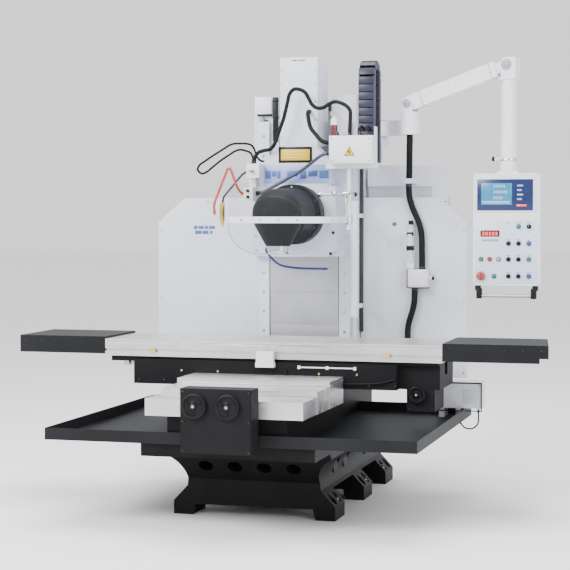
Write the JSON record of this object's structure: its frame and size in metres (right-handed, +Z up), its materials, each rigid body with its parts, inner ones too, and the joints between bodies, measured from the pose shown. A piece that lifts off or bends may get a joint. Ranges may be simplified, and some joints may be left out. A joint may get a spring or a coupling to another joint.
{
  "type": "vertical milling machine",
  "caption": "Bed-type vertical milling machine with a universal swivelling head, cross table with T-slots, telescopic way covers, chip tray and a pendant on a lifting arm.",
  "frame": {"origin": "centre of the rectangle of four corner anchor holes, at floor level", "axes": "+Z up, +X to the operator's right along the table, +Y away from the operator"},
  "size_m": [3.129, 2.712, 2.628],
  "materials": {
    "bed_black": "semi-gloss black machine enamel over cast iron",
    "dark_grey": "satin charcoal enamel",
    "machine_white": "satin pale grey machine enamel",
    "cover_steel": "brushed stainless way cover",
    "table_iron": "ground cast iron",
    "bright_steel": "ground and polished steel",
    "chain_navy": "glass-filled nylon links",
    "rubber_black": "black conduit jacket",
    "wheel_black": "moulded phenolic",
    "dog_brass": "yellow passivated steel dog",
    "hose_orange": "segmented coolant hose",
    "hose_blue": "segmented coolant hose",
    "guard_clear": "clear polycarbonate in an aluminium rail",
    "motor_grey": "dark grey motor enamel",
    "arm_white": "textured powder coat",
    "alu": "satin anodised",
    "button_red": "moulded button",
    "button_green": "moulded button",
    "button_black": "moulded button",
    "button_teal": "moulded button",
    "button_blue": "moulded button"
  },
  "bodies": {
    "root": {"bed_base": "bed_black", "chip_tray": "dark_grey", "front_drive_box": "dark_grey", "levelling_screws": "bright_steel", "column": "machine_white", "splash_panels": "machine_white", "cabinet": "machine_white", "z_drive_unit": "motor_grey", "feed_screws": "bright_steel", "scale_housing": "arm_white", "lube_tank": "arm_white", "air_unit": "arm_white", "panel_conduit": "rubber_black", "tank_lead": "rubber_black", "fixed_way_covers": "cover_steel", "arm_conduit": "rubber_black"},
    "saddle": {"saddle": "dark_grey", "limit_switch_unit": "arm_white", "y_cover_rear": "cover_steel"},
    "y_cover_mid": {"y_cover_mid": "cover_steel"},
    "side_handwheel": {"side_handwheel": "wheel_black"},
    "table": {"table": "table_iron", "end_guards": "dark_grey", "trip_dogs": "dog_brass", "x_screw": "bright_steel"},
    "head": {"headstock": "machine_white", "head_cover": "machine_white", "motor_cover": "machine_white", "spindle_motor": "motor_grey", "junction_box": "arm_white", "coolant_manifold": "arm_white", "orange_nozzle": "hose_orange", "blue_nozzle": "hose_blue", "head_hoses": "rubber_black", "z_cover_top": "cover_steel"},
    "z_cover_mid": {"z_cover_mid": "cover_steel"},
    "cable_chain": {"cable_chain": "chain_navy"},
    "spindle_guard": {"spindle_guard": "guard_clear"},
    "swivel_body": {"swivel_body": "dark_grey"},
    "nose_body": {"nose_body": "dark_grey"},
    "spindle": {"spindle": "bright_steel"},
    "handwheel_left": {"handwheel_left": "wheel_black"},
    "handwheel_right": {"handwheel_right": "wheel_black"},
    "cabinet_door": {"cabinet_door": "machine_white"},
    "arm_base": {"arm_base": "arm_white"},
    "arm_turret": {"arm_turret": "arm_white"},
    "arm_beam": {"arm_beam": "arm_white"},
    "arm_drop": {"arm_drop": "arm_white"},
    "pendant": {"pendant_box": "arm_white", "pendant_handle": "alu"},
    "selector_knob": {"selector_knob": "button_black"},
    "e_stop": {"e_stop": "button_red"},
    "start_button": {"start_button": "button_green"},
    "stop_button": {"stop_button": "button_red"},
    "jog_x_minus": {"jog_x_minus": "button_black"},
    "jog_x_plus": {"jog_x_plus": "button_black"},
    "jog_rapid": {"jog_rapid": "button_teal"},
    "jog_y_minus": {"jog_y_minus": "button_black"},
    "jog_y_plus": {"jog_y_plus": "button_black"},
    "jog_feed": {"jog_feed": "button_blue"}
  },
  "joints": [
    {"name": "saddle_y", "type": "slide", "parent": "root", "child": "saddle", "axis": [0, 1, 0], "range_m": [-0.45, 0.03]},
    {"name": "y_cover_mid_slide", "type": "slide", "parent": "root", "child": "y_cover_mid", "axis": [0, 1, 0], "range_m": [-0.225, 0.015]},
    {"name": "table_x", "type": "slide", "parent": "saddle", "child": "table", "axis": [1, 0, 0], "range_m": [-0.6, 0.6]},
    {"name": "side_handwheel_spin", "type": "hinge", "parent": "saddle", "child": "side_handwheel", "pos_m": [0.85, -0.401, 0.672], "axis": [0, 1, 0], "continuous": true},
    {"name": "head_z", "type": "slide", "parent": "root", "child": "head", "axis": [0, 0, 1], "range_m": [-0.35, 0.25]},
    {"name": "z_cover_mid_slide", "type": "slide", "parent": "root", "child": "z_cover_mid", "axis": [0, 0, 1], "range_m": [-0.175, 0.125]},
    {"name": "cable_chain_slide", "type": "slide", "parent": "root", "child": "cable_chain", "axis": [0, 0, 1], "range_m": [-0.175, 0.125]},
    {"name": "guard_swing", "type": "hinge", "parent": "head", "child": "spindle_guard", "pos_m": [0.349, 0.045, 1.7], "axis": [0, 0, 1], "range_deg": [0, 100]},
    {"name": "head_swivel", "type": "hinge", "parent": "head", "child": "swivel_body", "pos_m": [0, -0.265, 1.68], "axis": [0, 1, 0], "range_deg": [-90, 90]},
    {"name": "nose_tilt", "type": "hinge", "parent": "swivel_body", "child": "nose_body", "pos_m": [0, -0.265, 1.68], "axis": [0, -0.7071, -0.7071], "range_deg": [-90, 180]},
    {"name": "spindle_spin", "type": "hinge", "parent": "nose_body", "child": "spindle", "pos_m": [0, -0.265, 1.5], "axis": [0, 0, 1], "continuous": true},
    {"name": "handwheel_left_spin", "type": "hinge", "parent": "root", "child": "handwheel_left", "pos_m": [-0.108, -1.456, 0.696], "axis": [0, 1, 0], "continuous": true},
    {"name": "handwheel_right_spin", "type": "hinge", "parent": "root", "child": "handwheel_right", "pos_m": [0.072, -1.456, 0.696], "axis": [0, 1, 0], "continuous": true},
    {"name": "cabinet_door_swing", "type": "hinge", "parent": "root", "child": "cabinet_door", "pos_m": [0.756, 1.192, 1.3], "axis": [0, 0, -1], "range_deg": [0, 110]},
    {"name": "arm_base_swing", "type": "hinge", "parent": "root", "child": "arm_base", "pos_m": [0.425, 0.56, 2.205], "axis": [0, 0, 1], "range_deg": [-8, 25], "deforming": ["arm_conduit"]},
    {"name": "arm_turret_swing", "type": "hinge", "parent": "arm_base", "child": "arm_turret", "pos_m": [0.66, 0.33, 2.28], "axis": [0, 0, 1], "range_deg": [-25, 45]},
    {"name": "arm_lift", "type": "hinge", "parent": "arm_turret", "child": "arm_beam", "pos_m": [0.66, 0.33, 2.345], "axis": [-0.2756, -0.9613, 0], "range_deg": [-12, 12]},
    {"name": "pendant_level", "type": "hinge", "parent": "arm_beam", "child": "arm_drop", "pos_m": [1.27521, 0.15359, 2.55], "axis": [-0.2756, -0.9613, 0], "range_deg": [-12, 12]},
    {"name": "pendant_swivel", "type": "hinge", "parent": "arm_drop", "child": "pendant", "pos_m": [1.27921, 0.15359, 2.02], "axis": [0, 0, 1], "range_deg": [-60, 60]},
    {"name": "e_stop_press", "type": "slide", "parent": "pendant", "child": "e_stop", "axis": [0, 1, 0], "range_m": [0, 0.0035], "stiffness_N_per_m": 600},
    {"name": "start_button_press", "type": "slide", "parent": "pendant", "child": "start_button", "axis": [0, 1, 0], "range_m": [0, 0.0035], "stiffness_N_per_m": 600},
    {"name": "stop_button_press", "type": "slide", "parent": "pendant", "child": "stop_button", "axis": [0, 1, 0], "range_m": [0, 0.0035], "stiffness_N_per_m": 600},
    {"name": "jog_x_minus_press", "type": "slide", "parent": "pendant", "child": "jog_x_minus", "axis": [0, 1, 0], "range_m": [0, 0.0035], "stiffness_N_per_m": 600},
    {"name": "jog_x_plus_press", "type": "slide", "parent": "pendant", "child": "jog_x_plus", "axis": [0, 1, 0], "range_m": [0, 0.0035], "stiffness_N_per_m": 600},
    {"name": "jog_rapid_press", "type": "slide", "parent": "pendant", "child": "jog_rapid", "axis": [0, 1, 0], "range_m": [0, 0.0035], "stiffness_N_per_m": 600},
    {"name": "jog_y_minus_press", "type": "slide", "parent": "pendant", "child": "jog_y_minus", "axis": [0, 1, 0], "range_m": [0, 0.0035], "stiffness_N_per_m": 600},
    {"name": "jog_y_plus_press", "type": "slide", "parent": "pendant", "child": "jog_y_plus", "axis": [0, 1, 0], "range_m": [0, 0.0035], "stiffness_N_per_m": 600},
    {"name": "jog_feed_press", "type": "slide", "parent": "pendant", "child": "jog_feed", "axis": [0, 1, 0], "range_m": [0, 0.0035], "stiffness_N_per_m": 600},
    {"name": "selector_turn", "type": "hinge", "parent": "pendant", "child": "selector_knob", "pos_m": [1.41121, 0.06, 1.611], "axis": [0, 1, 0], "range_deg": [-45, 45]}
  ],
  "couplings": [
    {"joint": "y_cover_mid_slide", "follows": "saddle_y", "ratio": 0.5},
    {"joint": "z_cover_mid_slide", "follows": "head_z", "ratio": 0.5},
    {"joint": "cable_chain_slide", "follows": "head_z", "ratio": 0.5},
    {"joint": "pendant_level", "follows": "arm_lift", "ratio": -1}
  ]
}
